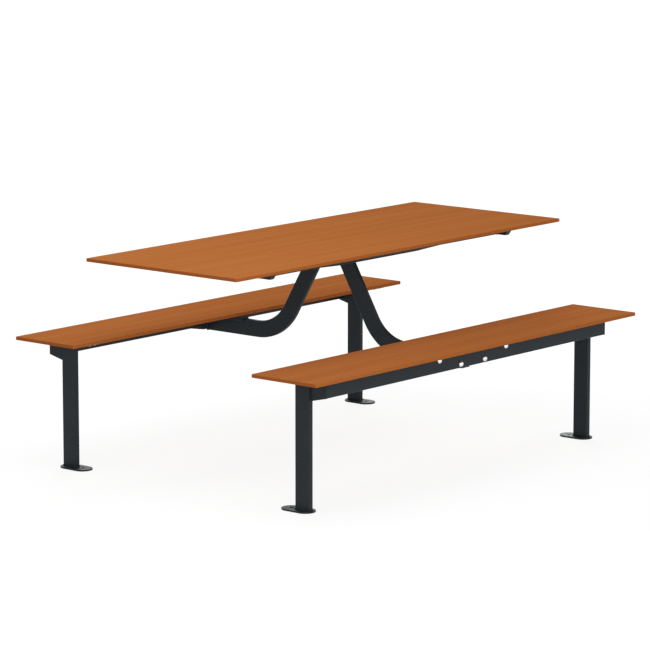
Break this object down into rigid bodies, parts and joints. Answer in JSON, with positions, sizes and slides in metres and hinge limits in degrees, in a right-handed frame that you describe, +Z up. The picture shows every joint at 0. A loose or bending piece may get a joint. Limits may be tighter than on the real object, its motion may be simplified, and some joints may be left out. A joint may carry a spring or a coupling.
{
  "type": "table with attached benches",
  "caption": "Fixed outdoor table with a bench along each long side: thin wood-look boards on a dark steel frame, curved arms from the seat beams to the table, foot plates with anchor holes.",
  "frame": {"origin": "on the ground at the middle of the footprint", "axes": "+X along the boards, +Y across from one bench to the other, +Z up"},
  "size_m": [1.8, 1.376, 0.778],
  "materials": {
    "board": "satin wood-grain laminate, straight grain along the board",
    "frame": "fine-texture anthracite powder coat",
    "stainless_bolt": "bright stainless",
    "zinc_bolt": "zinc-plated"
  },
  "bodies": {
    "root": {"table_board": "board", "front_seat_board": "board", "rear_seat_board": "board", "left_crossbar": "frame", "right_crossbar": "frame", "front_rail": "frame", "rear_rail": "frame", "front_rail_stiffener": "frame", "rear_rail_stiffener": "frame", "spine": "frame", "front_seat_beam": "frame", "front_arm": "frame", "front_arm_flange": "frame", "front_beam_lug": "frame", "front_head_plate": "frame", "front_left_post": "frame", "front_left_foot_plate": "frame", "front_left_seat_plate": "frame", "front_left_gusset": "frame", "front_left_seat_angle": "frame", "front_left_head_bolt": "zinc_bolt", "front_inner_left_bolt": "stainless_bolt", "front_inner_left_nut": "frame", "front_outer_left_bolt": "stainless_bolt", "front_outer_left_nut": "frame", "front_right_post": "frame", "front_right_foot_plate": "frame", "front_right_seat_plate": "frame", "front_right_gusset": "frame", "front_right_seat_angle": "frame", "front_right_head_bolt": "zinc_bolt", "front_inner_right_bolt": "stainless_bolt", "front_inner_right_nut": "frame", "front_outer_right_bolt": "stainless_bolt", "front_outer_right_nut": "frame", "rear_seat_beam": "frame", "rear_arm": "frame", "rear_arm_flange": "frame", "rear_beam_lug": "frame", "rear_head_plate": "frame", "rear_left_post": "frame", "rear_left_foot_plate": "frame", "rear_left_seat_plate": "frame", "rear_left_gusset": "frame", "rear_left_seat_angle": "frame", "rear_left_head_bolt": "zinc_bolt", "rear_inner_left_bolt": "stainless_bolt", "rear_inner_left_nut": "frame", "rear_outer_left_bolt": "stainless_bolt", "rear_outer_left_nut": "frame", "rear_right_post": "frame", "rear_right_foot_plate": "frame", "rear_right_seat_plate": "frame", "rear_right_gusset": "frame", "rear_right_seat_angle": "frame", "rear_right_head_bolt": "zinc_bolt", "rear_inner_right_bolt": "stainless_bolt", "rear_inner_right_nut": "frame", "rear_outer_right_bolt": "stainless_bolt", "rear_outer_right_nut": "frame"}
  },
  "joints": []
}
